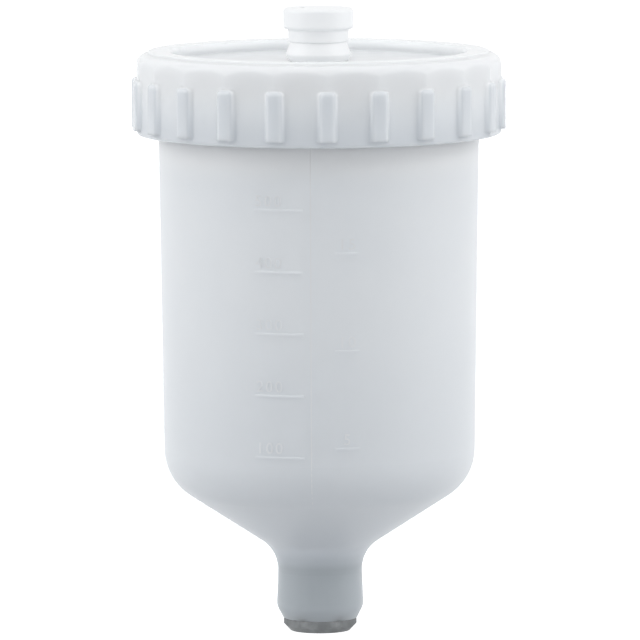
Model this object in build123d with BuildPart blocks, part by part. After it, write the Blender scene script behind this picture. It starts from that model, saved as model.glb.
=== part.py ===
from build123d import *
import os
from math import cos, degrees, floor, radians, tan

# Heights run up from the lower end of the outlet insert, and radii from the cup's upright axis.
# The front of the cup, with its marks, faces -Y.

# Shared fits
moving_gap = 0.3
slip_gap = 0.1
overrun = 1.0

# Outlet insert: a metal hexagon with turned corners, moulded into the neck, its bore at the thread's minor radius
thread_minor_radius = 7.475
insert_wall = 2.025
insert_corner = 1.0
insert_length = 18.0
insert_standout = 3.6
insert_chamfer_width = 1.9
insert_chamfer_height = 2.0
anchor_depth = 0.9
anchor_width = 2.0
anchor_pitch = 4.2
anchor_count = 2
bore_lead_in = 0.9

# Cup body: a long drafted wall, a cone below it and a short neck round the insert
cup_wall = 2.2
wall_draft = 1.35
rim_height = 163.4
rim_round = 0.6
cone_angle = 33.0
cone_round = 15.5
cone_rise = 5.1
neck_wall = 1.4
neck_round = 10.5
neck_flare = 0.6
neck_foot_slope_width = 1.85
neck_foot_slope_height = 3.6
neck_foot_round = 4.0
foot_land_round = 0.4
throat_round = 4.0

# Lid thread: four steep ridges on a thicker collar of the cup, and four short ones inside the lid
collar_radius = 47.6
collar_proud = 1.55
collar_length = 16.6
ridge_height = 1.7
ridge_root_width = 2.6
ridge_crest_width = 1.0
ridge_bury = 0.4
thread_starts = 4
lid_lead = 24.0
cup_ridge_span = 78.0
lid_ridge_span = 44.0
cup_ridge_start_drop = 11.4
cup_ridge_start_angle = 10.0

# Scale marks: raised bars on the front of the wall
mark_proud = 0.3
mark_thickness = 0.7
mark_bury = 1.0
mark_headroom = 20.0
left_mark_azimuth = -14.7
left_mark_width = 14.2
left_mark_first_rise = 10.9
left_mark_spacing = 17.6
right_mark_azimuth = 10.0
right_mark_width = 7.0
right_mark_first_rise = 13.5
right_mark_spacing = 27.8

# Lid gasket: a flat ring between the cup's rim and the lid's roof
gasket_thickness = 1.6
gasket_set_in = 0.15

# Lid: a skirt of flats between ribs, a raised ring on top and a recessed disc that reaches into the cup's mouth
lid_roof = 2.8
lid_height = 23.9
skirt_wall = 3.0
skirt_edge_round = 1.3
shoulder_round = 3.4
ring_step = 0.8
ring_step_width = 0.3
ring_land = 0.1
ring_edge_round = 0.4
ring_inner_round = 1.4
plug_wall = 1.3
plug_gap = 0.35
plug_reach = 4.0
recess_depth = 3.0
recess_round = 1.2
disc_thickness = 2.0
hub_wall = 3.0
hub_depth = 1.6
rib_count = 22
rib_azimuth = 2.7
rib_foot_width = 6.2
rib_face_width = 3.6
rib_proud = 1.2
rib_bottom_gap = 1.7
rib_top_gap = 7.9
rib_bury = 1.0
rib_side_round = 0.4
rib_end_round = 1.1

# Vent base: a hollow plug snapped into the hole at the middle of the lid
stem_radius = 6.0
stem_wall = 1.8
snap_bead_proud = 0.7
snap_bead_height = 1.8
stem_tip_height = 0.9
spigot_step = 0.5
spigot_land = 1.5
base_foot_flare = 0.5
base_foot_round = 0.5
base_belly_flare = 0.9
base_belly_height = 1.9
base_belly_round = 0.9
base_height = 5.5
spigot_height = 6.4
spigot_roof = 1.2
spigot_round = 0.5
base_hole_radius = 1.1
base_hole_offset = 2.4

# Vent cap: a pull-off button over the spigot of the vent base
cap_neck_wall = 2.1
cap_neck_height = 3.7
cap_neck_round = 0.5
cap_head_overhang = 1.4
cap_headroom = 1.25
cap_underside_round = 0.9
cap_top_round = 1.1
cap_roof = 2.1
cap_hole_radius = 0.8
cap_hole_offset = 4.6

# Heights and radii that follow from the sizes above
insert_flats = 2 * (thread_minor_radius + insert_wall)
insert_radius = insert_flats / 2 + insert_corner
throat_radius = thread_minor_radius + bore_lead_in
neck_waist_radius = insert_radius + neck_wall
neck_foot_radius = neck_waist_radius + neck_flare
cone_start_height = insert_length + cone_rise
wall_radius_top = collar_radius - collar_proud
wall_radius_bottom = wall_radius_top - wall_draft
cone_slope = tan(radians(cone_angle))
cone_lift = cup_wall / cos(radians(cone_angle))
cone_corner_height = cone_start_height + (wall_radius_bottom - neck_waist_radius) * cone_slope
collar_height = rim_height - collar_length
mouth_radius = wall_radius_top - cup_wall
inner_radius_bottom = wall_radius_bottom - cup_wall
ridge_mid_width = (ridge_root_width + ridge_crest_width) / 2
cup_ridge_start_height = rim_height - cup_ridge_start_drop
lid_bore_radius = collar_radius + ridge_height + moving_gap
lid_radius = lid_bore_radius + skirt_wall
roof_underside = rim_height + gasket_thickness
lid_top = roof_underside + lid_roof
skirt_bottom = lid_top - lid_height
ring_foot_radius = lid_radius - shoulder_round - ring_land
plug_radius = mouth_radius - plug_gap
recess_radius = plug_radius - plug_wall
disc_top = lid_top - recess_depth
disc_bottom = disc_top - disc_thickness
hub_radius = stem_radius + hub_wall
hub_bottom = disc_bottom - hub_depth
rib_length = lid_height - rib_bottom_gap - rib_top_gap
flat_radius = lid_radius * cos(radians(180 / rib_count))
stem_bore_radius = stem_radius - stem_wall
spigot_radius = stem_radius + spigot_step
base_waist_radius = spigot_radius + spigot_land
base_foot_radius = base_waist_radius + base_foot_flare
base_belly_radius = base_foot_radius + base_belly_flare
base_top = disc_top + base_height
spigot_top = base_top + spigot_height
cap_bore_radius = spigot_radius + slip_gap
cap_neck_radius = cap_bore_radius + cap_neck_wall
cap_head_radius = cap_neck_radius + cap_head_overhang
cap_head_bottom = base_top + cap_neck_height
cap_bore_top = spigot_top + cap_headroom
cap_top = cap_bore_top + cap_roof


def inner_cone_height(radius):
    """Height of the cup's inner cone at a radius."""
    return cone_start_height + cone_lift + (radius - neck_waist_radius) * cone_slope


def outer_wall_radius(height):
    """Outside radius of the drafted wall at a height."""
    rise_share = (height - cone_corner_height) / (collar_height - cone_corner_height)
    return wall_radius_bottom + (wall_radius_top - wall_radius_bottom) * rise_share


def face_angle(azimuth):
    """Angle about +Z from +X of a place that lies azimuth degrees right of the front."""
    return azimuth - 90


def ridge_profile():
    """Trapezium of a thread ridge, from its root, buried in the wall, out to its crest."""
    return [
        (-ridge_bury, -ridge_root_width / 2),
        (0, -ridge_root_width / 2),
        (ridge_height, -ridge_crest_width / 2),
        (ridge_height, ridge_crest_width / 2),
        (0, ridge_root_width / 2),
        (-ridge_bury, ridge_root_width / 2),
    ]


# The outside of the insert, which is also the pocket that it leaves in the neck
with BuildPart() as insert_form:
    with BuildSketch(Plane.XY):
        RegularPolygon(radius=insert_flats / 2, side_count=6, major_radius=False)
    extrude(amount=insert_length)
    with BuildSketch(Plane.XZ):
        with BuildLine():
            Polyline(
                (0, 0),
                (insert_radius - insert_chamfer_width, 0),
                (insert_radius, insert_chamfer_height),
                (insert_radius, insert_length),
                (0, insert_length),
                close=True,
            )
        make_face()
    revolve(axis=Axis.Z, mode=Mode.INTERSECT)
    with BuildSketch(Plane.XZ):
        for number in range(anchor_count):
            groove_height = insert_length - (number + 1) * anchor_pitch
            with Locations((insert_radius, groove_height)):
                Rectangle(2 * (anchor_depth + insert_corner), anchor_width)
    revolve(axis=Axis.Z, mode=Mode.SUBTRACT)

with BuildPart() as outlet_insert:
    add(insert_form.part)
    with BuildSketch(Plane.XZ):
        with BuildLine():
            Polyline(
                (0, 0),
                (thread_minor_radius + bore_lead_in, 0),
                (thread_minor_radius, bore_lead_in),
                (thread_minor_radius, insert_length - bore_lead_in),
                (thread_minor_radius + bore_lead_in, insert_length),
                (0, insert_length),
                close=True,
            )
        make_face()
    revolve(axis=Axis.Z, mode=Mode.SUBTRACT)

# One ridge of the cup's lid thread, rising with the lead of the lid
with BuildPart() as cup_ridge:
    with BuildLine() as cup_ridge_path:
        Helix(
            pitch=lid_lead,
            height=lid_lead * cup_ridge_span / 360,
            radius=collar_radius,
            center=(0, 0, cup_ridge_start_height),
        )
    cup_ridge_plane = Plane(
        origin=cup_ridge_path.line @ 0,
        x_dir=(1, 0, 0),
        z_dir=cup_ridge_path.line % 0,
    )
    with BuildSketch(cup_ridge_plane):
        with BuildLine():
            Polyline(*ridge_profile(), close=True)
        make_face()
    sweep(is_frenet=True)

# Columns of marks: azimuth, width, rise of the first mark above the cone and spacing
mark_columns = [
    (left_mark_azimuth, left_mark_width, left_mark_first_rise, left_mark_spacing),
    (right_mark_azimuth, right_mark_width, right_mark_first_rise, right_mark_spacing),
]

with BuildPart() as cup_body:
    with BuildSketch(Plane.XZ):
        with BuildLine():
            outside = FilletPolyline(
                (0, insert_standout),
                (neck_foot_radius - neck_foot_slope_width, insert_standout),
                (neck_foot_radius, insert_standout + neck_foot_slope_height),
                (neck_waist_radius, cone_start_height),
                (wall_radius_bottom, cone_corner_height),
                (wall_radius_top, collar_height),
                (collar_radius, collar_height + collar_proud),
                (collar_radius, rim_height),
                (mouth_radius, rim_height),
                (inner_radius_bottom, inner_cone_height(inner_radius_bottom)),
                (throat_radius, inner_cone_height(throat_radius)),
                (throat_radius, insert_length),
                (0, insert_length),
                radius=[
                    foot_land_round,
                    neck_foot_round,
                    neck_round,
                    cone_round,
                    0,
                    0,
                    rim_round,
                    rim_round,
                    cone_round - cup_wall,
                    throat_round,
                    0,
                ],
            )
            Line(outside @ 1, outside @ 0)
        make_face()
    revolve(axis=Axis.Z)
    add(insert_form.part, mode=Mode.SUBTRACT)
    with PolarLocations(0, thread_starts, cup_ridge_start_angle):
        add(cup_ridge.part)
    for azimuth, width, first_rise, spacing in mark_columns:
        column_length = collar_height - mark_headroom - cone_corner_height - first_rise
        for number in range(floor(column_length / spacing) + 1):
            mark_height = cone_corner_height + first_rise + number * spacing
            wall_radius = outer_wall_radius(mark_height)
            mark_arc = degrees(width / wall_radius)
            mark_start = face_angle(azimuth) - mark_arc / 2
            with BuildSketch(Plane.XZ.rotated((0, 0, mark_start))):
                with Locations((wall_radius + (mark_proud - mark_bury) / 2, mark_height)):
                    Rectangle(mark_proud + mark_bury, mark_thickness)
            revolve(axis=Axis.Z, revolution_arc=mark_arc)

with BuildPart() as lid_gasket:
    with BuildSketch(Plane.XY.offset(rim_height)):
        Circle(lid_bore_radius - moving_gap - gasket_set_in)
        Circle(mouth_radius + gasket_set_in, mode=Mode.SUBTRACT)
    extrude(amount=gasket_thickness)

# One grip rib with bevelled sides, rounded at its long edges and its top before it is copied round the skirt
with BuildPart() as grip_rib:
    with BuildSketch(Plane.XY.offset(skirt_bottom + rib_bottom_gap)):
        with BuildLine():
            Polyline(
                (flat_radius - rib_bury, -rib_foot_width / 2),
                (flat_radius, -rib_foot_width / 2),
                (lid_radius + rib_proud, -rib_face_width / 2),
                (lid_radius + rib_proud, rib_face_width / 2),
                (flat_radius, rib_foot_width / 2),
                (flat_radius - rib_bury, rib_foot_width / 2),
                close=True,
            )
        make_face()
    extrude(amount=rib_length)
    outer_face = grip_rib.faces().sort_by(Axis.X)[-1]
    fillet(outer_face.edges().filter_by(Axis.Z), rib_side_round)
    outer_face = grip_rib.faces().filter_by(Axis.X).sort_by(Axis.X)[-1]
    fillet(outer_face.edges().sort_by(Axis.Z)[-1], rib_end_round)

# One ridge of the lid's thread, hanging under a ridge of the cup with the moving gap between
with BuildPart() as lid_ridge:
    with BuildLine() as lid_ridge_path:
        Helix(
            pitch=lid_lead,
            height=lid_lead * lid_ridge_span / 360,
            radius=lid_bore_radius,
            center=(0, 0, cup_ridge_start_height - ridge_mid_width - moving_gap),
        )
    lid_ridge_plane = Plane(
        origin=lid_ridge_path.line @ 0,
        x_dir=(-1, 0, 0),
        z_dir=lid_ridge_path.line % 0,
    )
    with BuildSketch(lid_ridge_plane):
        with BuildLine():
            Polyline(*ridge_profile(), close=True)
        make_face()
    sweep(is_frenet=True)

with BuildPart() as lid:
    with BuildSketch(Plane.XZ):
        with BuildLine():
            outline = FilletPolyline(
                (stem_radius, disc_top),
                (recess_radius, disc_top),
                (recess_radius, lid_top),
                (ring_foot_radius - ring_step_width, lid_top),
                (ring_foot_radius, lid_top - ring_step),
                (lid_radius, lid_top - ring_step),
                (lid_radius, skirt_bottom),
                (lid_bore_radius, skirt_bottom),
                (lid_bore_radius, roof_underside),
                (plug_radius, roof_underside),
                (plug_radius, rim_height - plug_reach),
                (recess_radius, rim_height - plug_reach),
                (recess_radius, disc_bottom),
                (hub_radius, disc_bottom),
                (hub_radius, hub_bottom),
                (stem_radius, hub_bottom),
                radius=[
                    recess_round,
                    ring_inner_round,
                    ring_edge_round,
                    0,
                    shoulder_round,
                    skirt_edge_round,
                    skirt_edge_round / 2,
                    0,
                    0,
                    plug_wall / 3,
                    plug_wall / 3,
                    0,
                    0,
                    0,
                ],
            )
            Line(outline @ 1, outline @ 0)
        make_face()
    revolve(axis=Axis.Z)
    with BuildSketch(Plane.XY.offset(skirt_bottom - overrun)):
        RegularPolygon(radius=lid_radius, side_count=rib_count, rotation=face_angle(rib_azimuth))
    extrude(amount=lid_height + 2 * overrun, mode=Mode.INTERSECT)
    with PolarLocations(0, rib_count, face_angle(rib_azimuth)):
        add(grip_rib.part)
    with PolarLocations(0, thread_starts, cup_ridge_start_angle):
        add(lid_ridge.part)

with BuildPart() as vent_base:
    with BuildSketch(Plane.XZ):
        with BuildLine():
            outline = FilletPolyline(
                (stem_bore_radius, hub_bottom - snap_bead_height - stem_tip_height),
                (stem_radius - snap_bead_proud, hub_bottom - snap_bead_height - stem_tip_height),
                (stem_radius + snap_bead_proud, hub_bottom - snap_bead_height / 3),
                (stem_radius, hub_bottom),
                (stem_radius, disc_top),
                (base_foot_radius, disc_top),
                (base_belly_radius, disc_top + base_belly_height),
                (base_waist_radius, base_top),
                (spigot_radius, base_top),
                (spigot_radius, spigot_top),
                (0, spigot_top),
                (0, spigot_top - spigot_roof),
                (stem_bore_radius, spigot_top - spigot_roof),
                radius=[0, 0, 0, 0, base_foot_round, base_belly_round, 0, 0, spigot_round, 0, 0],
            )
            Line(outline @ 1, outline @ 0)
        make_face()
    revolve(axis=Axis.Z)
    with BuildSketch(Plane.XY.offset(spigot_top - spigot_roof - overrun)):
        with Locations((base_hole_offset, 0)):
            Circle(base_hole_radius)
    extrude(amount=spigot_roof + 2 * overrun, mode=Mode.SUBTRACT)

with BuildPart() as vent_cap:
    with BuildSketch(Plane.XZ):
        with BuildLine():
            outline = FilletPolyline(
                (cap_bore_radius, base_top),
                (cap_neck_radius, base_top),
                (cap_neck_radius, cap_head_bottom),
                (cap_head_radius, cap_head_bottom),
                (cap_head_radius, cap_top),
                (0, cap_top),
                (0, cap_bore_top),
                (cap_bore_radius, cap_bore_top),
                radius=[cap_neck_round, cap_neck_round, cap_underside_round, cap_top_round, 0, 0],
            )
            Line(outline @ 1, outline @ 0)
        make_face()
    revolve(axis=Axis.Z)
    with BuildSketch(Plane.XY.offset(cap_bore_top - overrun)):
        with Locations((-cap_hole_offset, 0)):
            Circle(cap_hole_radius)
    extrude(amount=cap_roof + 2 * overrun, mode=Mode.SUBTRACT)

cup_body.part.label = "cup_body"
outlet_insert.part.label = "outlet_insert"
lid_gasket.part.label = "lid_gasket"
lid.part.label = "lid"
vent_base.part.label = "vent_base"
vent_cap.part.label = "vent_cap"

os.makedirs("parts", exist_ok=True)
export_step(cup_body.part, "parts/cup_body.step")
export_step(outlet_insert.part, "parts/outlet_insert.step")
export_step(lid_gasket.part, "parts/lid_gasket.step")
export_step(lid.part, "parts/lid.step")
export_step(vent_base.part, "parts/vent_base.step")
export_step(vent_cap.part, "parts/vent_cap.step")
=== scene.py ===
# %% [markdown]
# # A paint cup with a screw lid
#
# This cup screws upright on top of a spray gun and feeds it paint by gravity. Its cup and lid are
# moulded in milky plastic that lets some light through, the small vent in the lid is an opaque white,
# and the threaded insert at the outlet is turned metal.
#
# The solids come ready made, at their real size and in their real places. This lesson dresses them:
# it gives each its finish, adds what is too fine for the solids, and sets the light and the camera.

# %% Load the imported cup
import math

import bmesh
import bpy
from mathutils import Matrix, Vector


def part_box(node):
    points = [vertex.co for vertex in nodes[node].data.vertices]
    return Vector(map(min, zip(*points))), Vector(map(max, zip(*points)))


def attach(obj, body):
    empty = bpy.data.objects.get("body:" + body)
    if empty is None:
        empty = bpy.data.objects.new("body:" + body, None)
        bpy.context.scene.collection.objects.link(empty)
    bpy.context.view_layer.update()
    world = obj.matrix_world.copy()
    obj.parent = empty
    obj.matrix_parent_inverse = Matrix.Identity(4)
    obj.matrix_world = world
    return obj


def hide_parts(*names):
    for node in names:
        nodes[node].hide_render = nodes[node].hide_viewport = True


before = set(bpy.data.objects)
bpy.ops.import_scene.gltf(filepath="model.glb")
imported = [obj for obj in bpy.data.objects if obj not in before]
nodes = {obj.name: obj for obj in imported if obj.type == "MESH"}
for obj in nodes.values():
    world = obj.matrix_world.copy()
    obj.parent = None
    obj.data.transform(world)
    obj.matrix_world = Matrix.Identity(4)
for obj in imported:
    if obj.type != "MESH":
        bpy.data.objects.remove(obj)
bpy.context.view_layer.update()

MM = 0.001
scene = bpy.context.scene
print("pieces:", ", ".join(sorted(nodes)))

# %% [markdown]
# ## Sums with sockets
#
# A procedural finish is mostly arithmetic: a noise scaled down, a mask turned round, two of them
# multiplied. Wiring each sum by hand hides the idea, so one small class wraps a number socket and
# lets Python's own signs add the Math nodes.

# %% A number socket that can be added, scaled and turned round
class Reading:
    """A number socket of a node tree, used in sums like a plain number."""

    def __init__(self, wiring, socket):
        self.wiring = wiring
        self.socket = socket

    def work(self, operation, first, second):
        node = self.wiring.node("ShaderNodeMath", {"operation": operation}, {0: first, 1: second})
        return Reading(self.wiring, node.outputs[0])

    def __add__(self, other):
        return self.work("ADD", self, other)

    __radd__ = __add__

    def __sub__(self, other):
        return self.work("SUBTRACT", self, other)

    def __rsub__(self, other):
        return self.work("SUBTRACT", other, self)

    def __mul__(self, other):
        return self.work("MULTIPLY", self, other)

    __rmul__ = __mul__

    def between(self, low, high):
        """0 below low, 1 above high and a smooth rise from one to the other."""
        settings = {"interpolation_type": "SMOOTHSTEP"}
        inputs = {"Value": self, "From Min": low, "From Max": high}
        rise = self.wiring.node("ShaderNodeMapRange", settings, inputs)
        return Reading(self.wiring, rise.outputs["Result"])


# %% [markdown]
# ## One way to make a node
#
# Plastic, foam and metal are each one thing on the bench, but a whole tree of nodes in Blender.
# Written out one by one, every node takes a line for its type, one for each setting and one for each
# link. Here a single method takes all three, so a finish reads as a list of what it is made of.

# %% A node tree and the one way its nodes are made
class Wiring:
    """A node tree. A new node takes its settings first, then values or links for its sockets."""

    def __init__(self, tree):
        self.tree = tree
        tree.nodes.clear()

    def node(self, kind, settings=None, inputs=None):
        made = self.tree.nodes.new(kind)
        for name, value in (settings or {}).items():
            setattr(made, name, value)
        for name, value in (inputs or {}).items():
            if isinstance(value, Reading):
                value = value.socket
            if isinstance(value, bpy.types.NodeSocket):
                self.tree.links.new(value, made.inputs[name])
            else:
                made.inputs[name].default_value = value
        return made

    def looking_out(self):
        """1 for the camera's view, also in a reflection or through something, and 0 for other light."""
        ray = self.node("ShaderNodeLightPath")
        mirrored = Reading(self, ray.outputs["Is Glossy Ray"])
        return mirrored + ray.outputs["Is Transmission Ray"] + ray.outputs["Is Camera Ray"]


# %% A finish under construction
class Finish(Wiring):
    """A material. Its patterns start from the piece's own place, so they stay fixed to the piece."""

    def __init__(self, name):
        self.material = bpy.data.materials.new(name)
        self.material.use_nodes = True
        super().__init__(self.material.node_tree)
        self.place = self.node("ShaderNodeTexCoord").outputs["Object"]

    def noise(self, size, detail, stretch=(1, 1, 1)):
        """Soft random spots about size metres across, as a number near 0.5."""
        mapping = self.node("ShaderNodeMapping", {}, {"Vector": self.place, "Scale": stretch})
        inputs = {"Vector": mapping.outputs[0], "Scale": 1 / size, "Detail": detail}
        spots = self.node("ShaderNodeTexNoise", {"noise_dimensions": "3D"}, inputs)
        return Reading(self, spots.outputs["Fac"])

    def height(self):
        """Height above the outlet in metres."""
        return Reading(self, self.node("ShaderNodeSeparateXYZ", {}, {0: self.place}).outputs["Z"])

    def radius(self):
        """Distance from the cup's upright axis in metres."""
        flat = self.node("ShaderNodeVectorMath", {"operation": "MULTIPLY"}, {0: self.place, 1: (1, 1, 0)})
        length = self.node("ShaderNodeVectorMath", {"operation": "LENGTH"}, {0: flat.outputs[0]})
        return Reading(self, length.outputs["Value"])

    def blend(self, factor, first, second):
        """A colour between two colours."""
        node = self.node("ShaderNodeMix", {"data_type": "RGBA"}, {0: factor, 6: first, 7: second})
        return node.outputs[2]

    def bump(self, relief, depth, edge_round=0.0):
        """A normal tilted by a relief of depth metres, and rounded over edges by edge_round metres."""
        inputs = {"Height": relief, "Distance": depth, "Strength": 1.0}
        if edge_round:
            soft_edge = self.node("ShaderNodeBevel", {"samples": 6}, {"Radius": edge_round})
            inputs["Normal"] = soft_edge.outputs[0]
        return self.node("ShaderNodeBump", {}, inputs).outputs[0]

    def done(self, shader):
        self.node("ShaderNodeOutputMaterial", {}, {"Surface": shader.outputs[0]})
        print("finish:", self.material.name, "with", len(self.tree.nodes), "nodes")
        return self.material


def wear(piece, material):
    """Give a piece one finish all over."""
    piece.data.materials.clear()
    piece.data.materials.append(material)


# %% [markdown]
# ## Camera
#
# The cup was photographed from far away with a long lens, a little above it. A short lens close by
# would show it as large, but would spread its upright edges and open the lid's ellipses too far. So
# the distance matters as much as the height: the ellipses open from the lid down to the outlet as
# the line of sight steepens, and that is how both were found.

# %% Stand the camera where the photograph was taken
CAMERA_DISTANCE = 2.35
CAMERA_HEIGHT = 0.343
CAMERA_ROLL = -0.18
VIEW_WIDTH = 0.1843
SENSOR_WIDTH = 36.0
FARTHEST_SEEN = 50.0
AIM = Vector((0.0002, 0.0, 0.0899))

camera_data = bpy.data.cameras.new("photo_camera")
camera_data.sensor_width = SENSOR_WIDTH
camera_data.clip_end = FARTHEST_SEEN
camera = bpy.data.objects.new("photo_camera", camera_data)
scene.collection.objects.link(camera)
camera.location = (AIM.x, -CAMERA_DISTANCE, CAMERA_HEIGHT)
line_of_sight = AIM - camera.location
camera_data.lens = SENSOR_WIDTH * line_of_sight.length / VIEW_WIDTH
camera.rotation_euler = line_of_sight.to_track_quat("-Z", "Y").to_euler()
camera.rotation_euler.rotate_axis("Z", math.radians(CAMERA_ROLL))
scene.camera = camera
scene.view_settings.view_transform = "Standard"
looking_down = math.degrees(math.asin(-line_of_sight.normalized().z))
print("lens in mm:", round(camera_data.lens), "looking down in degrees:", round(looking_down, 2))

# %% [markdown]
# ## Glow from all round
#
# In the photograph white plastic stands before white. More light could turn the background white
# too, but it would wash out the cup. Here the world has two strengths instead: the camera, the
# metal's reflections and the view through thin plastic see pure white, and the cup is lit by a
# weaker and slightly cool glow that fills its shadows.

# %% World
FILL_COLOUR = (0.93, 0.965, 1.0, 1.0)
FILL_STRENGTH = 0.65
BACKDROP_COLOUR = (1.0, 1.0, 1.0, 1.0)

world = bpy.data.worlds.new("studio")
scene.world = world
world.use_nodes = True
studio = Wiring(world.node_tree)
fill_glow = studio.node("ShaderNodeBackground", {}, {"Color": FILL_COLOUR, "Strength": FILL_STRENGTH})
backdrop_glow = studio.node("ShaderNodeBackground", {}, {"Color": BACKDROP_COLOUR, "Strength": 1.0})
glows = {0: studio.looking_out(), 1: fill_glow.outputs[0], 2: backdrop_glow.outputs[0]}
chosen_glow = studio.node("ShaderNodeMixShader", {}, glows)
studio.node("ShaderNodeOutputWorld", {}, {"Surface": chosen_glow.outputs[0]})
print("world:", len(studio.tree.nodes), "nodes")

# %% [markdown]
# ## Soft boxes
#
# A studio lights such a cup with large soft boxes. A sun or a bare bulb would draw hard shadows of
# the ribs. Two boxes stand at the sides, so the wall turns a little darker towards the camera and
# its roundness can be read. One hangs overhead for the lid, and a weak one stands behind the camera.
# The last is small and gives the lid's rim a narrow highlight on the right.

# %% Hang the lamps
SOFT_BOXES = (
    # name, place, width, height, power in watts
    ("left_box", Vector((-1.5, -0.3, 0.75)), 1.2, 1.2, 8.9),
    ("right_box", Vector((1.5, -0.2, 0.65)), 1.2, 1.2, 7.1),
    ("top_box", Vector((0.0, -0.2, 1.7)), 1.6, 1.6, 5.0),
    ("front_box", Vector((0.0, -2.4, 0.25)), 1.4, 1.0, 3.6),
    ("glint_box", Vector((1.2, -0.8, 1.3)), 0.1, 0.1, 2.0),
)

for name, place, width, height, power in SOFT_BOXES:
    lamp = bpy.data.lights.new(name, "AREA")
    lamp.shape = "RECTANGLE"
    lamp.size = width
    lamp.size_y = height
    lamp.energy = power
    box = bpy.data.objects.new(name, lamp)
    box.location = place
    box.rotation_euler = (AIM - place).to_track_quat("-Z", "Y").to_euler()
    scene.collection.objects.link(box)
    print(name, "at", tuple(round(part, 2) for part in place), "with", power, "W")

# %% [markdown]
# ## Floor
#
# The cup stands on white paper. Paper that is only lit turns out grey unless the lamps burn out the
# cup, so its dull colour is joined by a glow that can be seen, also as a reflection, but doesn't
# light the cup. The dull colour keeps the cup's shadow, and sends some light back up under the cone
# and the lid.

# %% Lay the paper
FLOOR_RADIUS = 12.0
FLOOR_SIDES = 64
FLOOR_LIFT = 0.85
PAPER_COLOUR = (0.575, 0.583, 0.595, 1.0)

floor_shape = bmesh.new()
bmesh.ops.create_circle(floor_shape, cap_ends=True, segments=FLOOR_SIDES, radius=FLOOR_RADIUS)
floor_mesh = bpy.data.meshes.new("floor")
floor_shape.to_mesh(floor_mesh)
floor_shape.free()
floor = bpy.data.objects.new("floor", floor_mesh)
scene.collection.objects.link(floor)

paper = Finish("floor_paper")
paper_dull = paper.node("ShaderNodeBsdfDiffuse", {}, {"Color": PAPER_COLOUR})
paper_glow = paper.node("ShaderNodeEmission", {}, {"Strength": paper.looking_out() * FLOOR_LIFT})
paper_sum = paper.node("ShaderNodeAddShader", {}, {0: paper_dull.outputs[0], 1: paper_glow.outputs[0]})
wear(floor, paper.done(paper_sum))

# %% [markdown]
# ## Milky plastic
#
# The cup and the lid are a plastic that light gets into: it scatters there and comes out again a
# little further on. Plain white paint would look like chalk, and clear plastic would show what is
# inside. Scattering below the surface gives the milky look, and softens every edge and rib as on the
# real moulding. The skin has a fine grain from the mould, and long faint streaks up the wall.

# %% The shader that all milky pieces share
CLOUD_SIZE = 18 * MM
CLOUD_EDGES = (0.35, 0.65)
CLOUD_DULLNESS = 0.10
GRAIN_SIZE = 0.55 * MM
GRAIN_SHARE = 0.6
STREAK_WIDTH = 3.2 * MM
STREAK_STRETCH = (1, 1, 0.12)
STREAK_SHARE = 0.4
STREAK_DULLNESS = 0.06
SKIN_RELIEF = 0.012 * MM
SKIN_SHINE = 0.2


def milky_shader(plastic, pale, deep, depth, roughness, shade=None, edge_round=0.0):
    """The shader of a moulded milky plastic.

    pale and deep are the colours of its clouds, depth is how far light travels in it, in metres,
    shade paints light and shade into its colour by place, and edge_round softens its edges, in metres.
    """
    clouds = plastic.noise(CLOUD_SIZE, 3.0)
    grain = plastic.noise(GRAIN_SIZE, 1.0)
    streaks = plastic.noise(STREAK_WIDTH, 2.0, STREAK_STRETCH)
    colour = plastic.blend(clouds.between(*CLOUD_EDGES), pale, deep)
    if shade:
        colour = shade(plastic, colour)
    inputs = {
        "Base Color": colour,
        "Roughness": roughness + CLOUD_DULLNESS * (clouds - 0.5) + STREAK_DULLNESS * (streaks - 0.5),
        "Normal": plastic.bump(grain * GRAIN_SHARE + streaks * STREAK_SHARE, SKIN_RELIEF, edge_round),
        "Specular IOR Level": SKIN_SHINE,
        "Subsurface Weight": 1.0 if depth else 0.0,
        "Subsurface Radius": (1.0, 1.0, 1.0),
        "Subsurface Scale": depth,
    }
    return plastic.node("ShaderNodeBsdfPrincipled", {}, inputs)


# %% [markdown]
# ## The cup's painted light and shade
#
# How light a milky wall looks depends on the light around it and on what is behind it. Here that
# light and shade are painted into the wall's colour by height: painted shade darkens the wall
# downwards and colours the cone, painted light lifts the top of the wall under the lid, where the
# lid's shadow falls, and painted shade greys the neck, where the wall hides the metal insert. Tracing
# light through both walls would show that too, but slowly and with much noise. The cup is round, so
# the height above the outlet says it as well.

# %% Paint light and shade on the cup by height
CUP_PALE = (0.86, 0.88, 0.90, 1)
CUP_DEEP = (0.85, 0.872, 0.895, 1)
CUP_LIGHT_REACH = 4 * MM
CUP_ROUGHNESS = 0.34
LID_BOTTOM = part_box("lid")[0][2]
# Painted light: the top of the wall just under the lid is lightened where the lid's shadow falls.
UNDER_LID = 131 * MM
PAINTED_UNDER_LID_LIGHT = (0.97, 0.98, 0.99, 1)
# Painted shade: the wall is darker towards its bottom.
WALL_TOP = 110 * MM
WALL_BOTTOM = 45 * MM
PAINTED_LOW_WALL_SHADE = (0.775, 0.797, 0.82, 1)
# Painted shade on the cone, which faces downwards, a little bluer than the low wall.
CONE_TOP = 48 * MM
CONE_BOTTOM = 26 * MM
PAINTED_CONE_SHADE = (0.76, 0.787, 0.82, 1)
# Painted shade in the neck, where the metal insert inside keeps light from coming through the wall; it is
# weaker at the foot.
METAL_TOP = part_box("outlet_insert")[1][2] + 1.6 * MM
METAL_BLUR = 1.2 * MM
PAINTED_INSERT_SHADE = (0.49, 0.52, 0.54, 1)
THROAT_TOP = 26 * MM
THROAT_INSERT_SHADE_SHARE = 0.7
FOOT_TOP = 9 * MM
FOOT_BLUR = 4 * MM
FOOT_INSERT_SHADE_SHARE = 0.4


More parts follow.
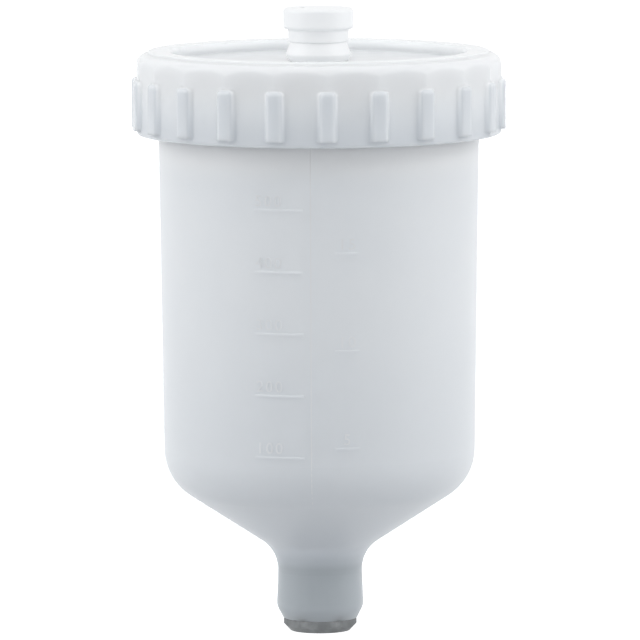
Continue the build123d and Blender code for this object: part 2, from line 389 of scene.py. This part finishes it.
def cup_painted_light_and_shade(plastic, colour):
    """Painted light and shade in the cup's colour, from the wall down to the metal in the neck."""
    height = plastic.height()
    # Each blend below paints light or shade into the colour by height.
    colour = plastic.blend(1 - height.between(WALL_BOTTOM, WALL_TOP), colour, PAINTED_LOW_WALL_SHADE)
    colour = plastic.blend(1 - height.between(CONE_BOTTOM, CONE_TOP), colour, PAINTED_CONE_SHADE)
    colour = plastic.blend(height.between(UNDER_LID, LID_BOTTOM), colour, PAINTED_UNDER_LID_LIGHT)
    # Painted shade of the metal insert, through the wall of the throat and the neck.
    throat_insert_shade = THROAT_INSERT_SHADE_SHARE * (1 - height.between(METAL_TOP, THROAT_TOP))
    colour = plastic.blend(throat_insert_shade, colour, PAINTED_INSERT_SHADE)
    insert_shade_mask = 1 - height.between(METAL_TOP - METAL_BLUR, METAL_TOP + METAL_BLUR)
    insert_shade_strength = FOOT_INSERT_SHADE_SHARE + (1 - FOOT_INSERT_SHADE_SHARE) * height.between(FOOT_TOP - FOOT_BLUR, FOOT_TOP)
    return plastic.blend(insert_shade_mask * insert_shade_strength, colour, PAINTED_INSERT_SHADE)


cup_finish = Finish("cup_plastic")
cup_shader = milky_shader(cup_finish, CUP_PALE, CUP_DEEP, CUP_LIGHT_REACH, CUP_ROUGHNESS, cup_painted_light_and_shade)
wear(nodes["cup_body"], cup_finish.done(cup_shader))
print("shaded from", round(LID_BOTTOM / MM, 1), "mm down to", round(METAL_TOP / MM, 1), "mm and below")

# %% [markdown]
# ## The lid's painted shade
#
# The lid is the same plastic with a smoother skin. Its colour carries painted shade: the skirt is
# painted darker downwards over the cup's collar, the thin disc in its middle is painted darker as it
# has the hollow cup below it, and its ribs catch light from three sides, so they get a painted shade
# of their own to keep them from shining too brightly. The painted shade could be laid on an unwrapped
# lid, but two measures say it all: the height, and the distance from the axis. The shader also rounds
# the lid's edges as the mould does.

# %% Paint shade on the lid by height and by distance from the axis
LID_PALE = (0.92, 0.94, 0.955, 1)
LID_DEEP = (0.91, 0.932, 0.95, 1)
LID_LIGHT_REACH = 4.5 * MM
LID_ROUGHNESS = 0.24
LID_EDGE_ROUND = 1.4 * MM
LID_SHOULDER = 160 * MM
# Painted shade: the skirt is darker from the shoulder down to its lower edge.
PAINTED_LOW_SKIRT_SHADE = (0.685, 0.705, 0.727, 1)
# Painted shade on the disc inside the cup's mouth.
DISC_RADIUS = 42.0 * MM
DISC_BLUR = 0.4 * MM
PAINTED_DISC_SHADE = (0.80, 0.818, 0.832, 1)
# Painted shade on the ribs, which stand out past the skirt and catch light from three sides.
RIB_INSIDE = 52.9 * MM
RIB_OUTSIDE = 53.5 * MM
PAINTED_RIB_SHADE = (0.72, 0.74, 0.76, 1)


def lid_painted_shade(plastic, colour):
    """Painted shade in the lid's colour on the skirt, the disc and the ribs."""
    low_skirt_shade = 1 - plastic.height().between(LID_BOTTOM, LID_SHOULDER)
    colour = plastic.blend(low_skirt_shade, colour, PAINTED_LOW_SKIRT_SHADE)
    radius = plastic.radius()
    disc_shade_mask = 1 - radius.between(DISC_RADIUS - DISC_BLUR, DISC_RADIUS + DISC_BLUR)
    colour = plastic.blend(disc_shade_mask, colour, PAINTED_DISC_SHADE)
    return plastic.blend(radius.between(RIB_INSIDE, RIB_OUTSIDE), colour, PAINTED_RIB_SHADE)


lid_finish = Finish("lid_plastic")
lid_shader = milky_shader(
    lid_finish, LID_PALE, LID_DEEP, LID_LIGHT_REACH, LID_ROUGHNESS, lid_painted_shade, LID_EDGE_ROUND
)
wear(nodes["lid"], lid_finish.done(lid_shader))

# %% [markdown]
# ## The white plastic of the vent
#
# The vent's foot and its button are small opaque mouldings, so light stays on their surface and
# needs no scattering. One flat white would do from afar. Two whites in soft clouds and a faint grain
# keep them from looking like paper close by.

# %% The vent's finish
VENT_WARM = (0.92, 0.915, 0.91, 1)
VENT_COOL = (0.90, 0.90, 0.90, 1)
VENT_CLOUD_SIZE = 6 * MM
VENT_CLOUD_DULLNESS = 0.12
VENT_GRAIN_SIZE = 0.4 * MM
VENT_RELIEF = 0.010 * MM
VENT_ROUGHNESS = 0.42


def white_plastic(name):
    plastic = Finish(name)
    clouds = plastic.noise(VENT_CLOUD_SIZE, 2.0)
    grain = plastic.noise(VENT_GRAIN_SIZE, 1.0)
    inputs = {
        "Base Color": plastic.blend(clouds, VENT_WARM, VENT_COOL),
        "Roughness": VENT_ROUGHNESS + VENT_CLOUD_DULLNESS * (clouds - 0.5),
        "Normal": plastic.bump(grain, VENT_RELIEF),
    }
    return plastic.done(plastic.node("ShaderNodeBsdfPrincipled", {}, inputs))


vent_plastic = white_plastic("vent_plastic")
wear(nodes["vent_base"], vent_plastic)
wear(nodes["vent_cap"], vent_plastic)

# %% [markdown]
# ## The foam of the gasket
#
# The gasket seals the cup's rim against the lid. It is closed-cell foam: matt, off-white and uneven,
# and it shows only when the lid is off. Its cells are smaller than a pixel and could never be
# modelled one by one, so a single fine noise gives them both their tone and their relief.

# %% The gasket's finish
FOAM_PALE = (0.80, 0.80, 0.77, 1)
FOAM_DARK = (0.71, 0.71, 0.68, 1)
FOAM_ROUGHNESS = 0.85
CELL_SIZE = 0.7 * MM
CELL_EDGES = (0.3, 0.7)
CELL_RELIEF = 0.08 * MM


def foam(name):
    soft = Finish(name)
    cells = soft.noise(CELL_SIZE, 3.0)
    inputs = {
        "Base Color": soft.blend(cells.between(*CELL_EDGES), FOAM_PALE, FOAM_DARK),
        "Roughness": FOAM_ROUGHNESS,
        "Normal": soft.bump(cells, CELL_RELIEF),
    }
    return soft.done(soft.node("ShaderNodeBsdfPrincipled", {}, inputs))


wear(nodes["lid_gasket"], foam("gasket_foam"))

# %% [markdown]
# ## The turned metal of the insert
#
# The insert is turned from a bar and left as it comes off the lathe: dull, dark grey and a little
# stained. The tool leaves rings too fine to model. A noise that is drawn out sideways stands for
# them in the bump, and a coarser one stains the metal and changes its gloss.

# %% The insert's finish
METAL_BRIGHT = (0.19, 0.197, 0.20, 1)
METAL_STAINED = (0.14, 0.147, 0.15, 1)
METAL_ROUGHNESS = 0.5
TOOL_MARK_WIDTH = 0.25 * MM
TOOL_MARK_STRETCH = (0.1, 0.1, 1)
TOOL_MARK_RELIEF = 0.02 * MM
STAIN_SIZE = 3 * MM
STAIN_EDGES = (0.3, 0.7)
STAIN_DULLNESS = 0.2


def turned_metal(name):
    metal = Finish(name)
    tool_marks = metal.noise(TOOL_MARK_WIDTH, 2.0, TOOL_MARK_STRETCH)
    stains = metal.noise(STAIN_SIZE, 3.0)
    inputs = {
        "Base Color": metal.blend(stains.between(*STAIN_EDGES), METAL_BRIGHT, METAL_STAINED),
        "Metallic": 1.0,
        "Roughness": METAL_ROUGHNESS + STAIN_DULLNESS * (stains - 0.5),
        "Normal": metal.bump(tool_marks, TOOL_MARK_RELIEF),
    }
    return metal.done(metal.node("ShaderNodeBsdfPrincipled", {}, inputs))


insert_metal = turned_metal("insert_metal")

# %% [markdown]
# ## The thread in the outlet
#
# The solids keep the outlet's bore plain, because its minor radius is what a fitting has to pass. On
# the real insert a tap cuts a helical groove into that bore. Cutting a swept helix out of the solid
# is slow and often tears the surface. Here the insert's own faces are copied, the bore is taken out
# and a finer one is put in its place: a grid of rings whose radius rises and falls once for each
# pitch, shifted a little from one direction to the next, so that the wave winds up as a right-hand
# helix.

# %% The radius of the threaded bore
PIPE_PITCH = 1.337 * MM
PIPE_MAJOR_RADIUS = 8.331 * MM
PIPE_MINOR_RADIUS = 7.475 * MM
BORE_LEAD_IN = 0.9 * MM


def bore_radius(height, turn, length):
    """Radius at a height above the insert's lower end and a share of a turn."""
    wave = 0.5 - 0.5 * math.cos(2 * math.pi * (height / PIPE_PITCH - turn))
    groove = PIPE_MINOR_RADIUS + (PIPE_MAJOR_RADIUS - PIPE_MINOR_RADIUS) * wave
    lead_in = PIPE_MINOR_RADIUS + BORE_LEAD_IN - min(height, length - height)
    return max(groove, lead_in)


print("thread depth in mm:", round((PIPE_MAJOR_RADIUS - PIPE_MINOR_RADIUS) / MM, 3))

# %% Wind the thread into a copy of the insert
RINGS_PER_PITCH = 10
THREAD_SIDES = 96
THREAD_SHARP_DEGREES = 32
SMALLEST = 0.002 * MM


def threaded_insert(name, plain):
    shape = bmesh.new()
    shape.from_mesh(plain.data)
    reach = PIPE_MINOR_RADIUS + BORE_LEAD_IN + SMALLEST
    old_bore = [face for face in shape.faces if all(v.co.xy.length < reach for v in face.verts)]
    bmesh.ops.delete(shape, geom=old_bore, context="FACES")
    low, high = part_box("outlet_insert")
    length = high[2] - low[2]
    ring_count = round(length / PIPE_PITCH * RINGS_PER_PITCH)
    rings = []
    for number in range(ring_count + 1):
        height = length * number / ring_count
        ring = []
        for side in range(THREAD_SIDES):
            turn = side / THREAD_SIDES
            angle = 2 * math.pi * turn
            radius = bore_radius(height, turn, length)
            point = (radius * math.cos(angle), radius * math.sin(angle), low[2] + height)
            ring.append(shape.verts.new(point))
        rings.append(ring)
    for lower, upper in zip(rings, rings[1:]):
        for side in range(THREAD_SIDES):
            after = (side + 1) % THREAD_SIDES
            face = shape.faces.new((lower[after], lower[side], upper[side], upper[after]))
            face.smooth = True
    mesh = bpy.data.meshes.new(name)
    shape.to_mesh(mesh)
    shape.free()
    mesh.set_sharp_from_angle(angle=math.radians(THREAD_SHARP_DEGREES))
    piece = bpy.data.objects.new(name, mesh)
    scene.collection.objects.link(piece)
    print(name, "has", len(old_bore), "plain bore faces less and", ring_count, "thread rings more")
    return piece


insert = threaded_insert("threaded_insert", nodes["outlet_insert"])
wear(insert, insert_metal)
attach(insert, "cup")
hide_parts("outlet_insert")

# %% [markdown]
# ## Thin details of the same plastic
#
# The scale's figures and the mould's parting lines are the cup's own plastic, but so thin that light
# goes right through them. Scattering below the surface would find no depth there and turn them dark.
# So they get a shader of their own: half of it is a plain surface, and the other half lets light
# through to the wall and back.

# %% The finish of thin details
FINE_PALE = (0.97, 0.98, 0.99, 1)
FINE_DEEP = (0.96, 0.97, 0.98, 1)
THIN_COLOUR = (0.74, 0.745, 0.75, 1)
THROUGH_SHARE = 0.5

fine_finish = Finish("fine_plastic")
fine_surface = milky_shader(fine_finish, FINE_PALE, FINE_DEEP, 0.0, CUP_ROUGHNESS)
fine_through = fine_finish.node("ShaderNodeBsdfTranslucent", {}, {"Color": THIN_COLOUR})
fine_shader = fine_finish.node(
    "ShaderNodeMixShader", {}, {0: THROUGH_SHARE, 1: fine_surface.outputs[0], 2: fine_through.outputs[0]}
)
fine_plastic = fine_finish.done(fine_shader)

# %% [markdown]
# ## Where the wall stands
#
# Both details have to follow a wall that leans outwards and is round. Its radius could be worked out
# from the sizes of the mould, and would be wrong as soon as they change. A ray that is shot at the
# cup from outside finds the wall wherever it stands.

# %% Find the wall
WALL_SEARCH_RADIUS = 60 * MM
DETAIL_SHARP_DEGREES = 35
cup = nodes["cup_body"]


def on_wall(azimuth, height, proud):
    """The point that stands proud of the cup's wall, azimuth degrees right of the front."""
    turn = math.radians(azimuth - 90)
    outwards = Vector((math.cos(turn), math.sin(turn), 0.0))
    start = outwards * WALL_SEARCH_RADIUS + Vector((0.0, 0.0, height))
    found, place, _, _ = cup.ray_cast(start, -outwards)
    assert found, (azimuth, height)
    return place + outwards * proud


def moulded(name, shape):
    """A piece of the cup's own plastic, made from a finished bmesh."""
    mesh = bpy.data.meshes.new(name)
    shape.to_mesh(mesh)
    shape.free()
    mesh.shade_smooth()
    mesh.set_sharp_from_angle(angle=math.radians(DETAIL_SHARP_DEGREES))
    piece = bpy.data.objects.new(name, mesh)
    scene.collection.objects.link(piece)
    wear(piece, fine_plastic)
    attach(piece, "cup")
    print(name, "with", len(mesh.polygons), "faces")
    return piece


# %% [markdown]
# ## The figures of the scale
#
# The figures beside the marks stand up from the wall. They could be drawn on it as a colour, but
# then they would catch no light at their edges. They start as flat letters, which are given a
# thickness and then laid round the cup: sideways becomes an angle, and every point takes its
# distance from the wall that a ray meets there.

# %% Lay the figures round the cup
FIGURE_SIZE = 4.5 * MM
FIGURE_DEPTH = 0.7 * MM
FIGURE_PROUD = 0.2 * MM
FIGURE_SPACING = 1.25
FIGURE_LIFT = 2.5 * MM
FIGURE_CURVE_STEPS = 4
COLUMNS = (
    # figures from the bottom up, degrees right of the front, height of the first mark, step
    (("100", "200", "300", "400", "500"), -18.4, 55.3 * MM, 17.6 * MM),
    (("5", "10", "15"), 10.0, 57.9 * MM, 27.8 * MM),
)


def figures(text, azimuth, height):
    """A mesh of figures that is laid on the wall round a place."""
    letters = bpy.data.curves.new("letters", "FONT")
    letters.body = text
    letters.size = FIGURE_SIZE
    letters.space_character = FIGURE_SPACING
    letters.align_x = "CENTER"
    letters.align_y = "CENTER"
    letters.extrude = FIGURE_DEPTH / 2
    letters.resolution_u = FIGURE_CURVE_STEPS
    flat = bpy.data.objects.new("letters", letters)
    mesh = bpy.data.meshes.new_from_object(flat)
    wall_radius = on_wall(azimuth, height, 0.0).xy.length
    for vertex in mesh.vertices:
        bend = math.degrees(vertex.co.x / wall_radius)
        proud = FIGURE_PROUD if vertex.co.z > 0 else FIGURE_PROUD - FIGURE_DEPTH
        vertex.co = on_wall(azimuth + bend, height + vertex.co.y, proud)
    bpy.data.objects.remove(flat)
    bpy.data.curves.remove(letters)
    return mesh


all_figures = bmesh.new()
for column, azimuth, first_mark, step in COLUMNS:
    for number, text in enumerate(column):
        mesh = figures(text, azimuth, first_mark + number * step + FIGURE_LIFT)
        all_figures.from_mesh(mesh)
        bpy.data.meshes.remove(mesh)
moulded("scale_figures", all_figures)

# %% [markdown]
# ## The parting lines
#
# The mould opens in two halves, and leaves a fine ridge down the front and another down the back. A
# bump in the shader could draw it, but a real strip also shows at the edge of the wall. Each strip
# has three points side by side: the outer two lie just below the wall and the middle one just above
# it, so that only the ridge shows.

# %% Draw the parting lines
PARTING_AZIMUTHS = (-3.0, 177.0)
PARTING_BOTTOM = 40 * MM
PARTING_TOP = 145 * MM
PARTING_PROUD = 0.05 * MM
PARTING_HALF_WIDTH = 0.45
PARTING_STEPS = 60

parting = bmesh.new()
for azimuth in PARTING_AZIMUTHS:
    rows = []
    for number in range(PARTING_STEPS + 1):
        height = PARTING_BOTTOM + (PARTING_TOP - PARTING_BOTTOM) * number / PARTING_STEPS
        rows.append(
            [
                parting.verts.new(on_wall(azimuth - PARTING_HALF_WIDTH, height, -PARTING_PROUD)),
                parting.verts.new(on_wall(azimuth, height, PARTING_PROUD)),
                parting.verts.new(on_wall(azimuth + PARTING_HALF_WIDTH, height, -PARTING_PROUD)),
            ]
        )
    for lower, upper in zip(rows, rows[1:]):
        for side in range(2):
            parting.faces.new((lower[side], lower[side + 1], upper[side + 1], upper[side]))
moulded("parting_lines", parting)
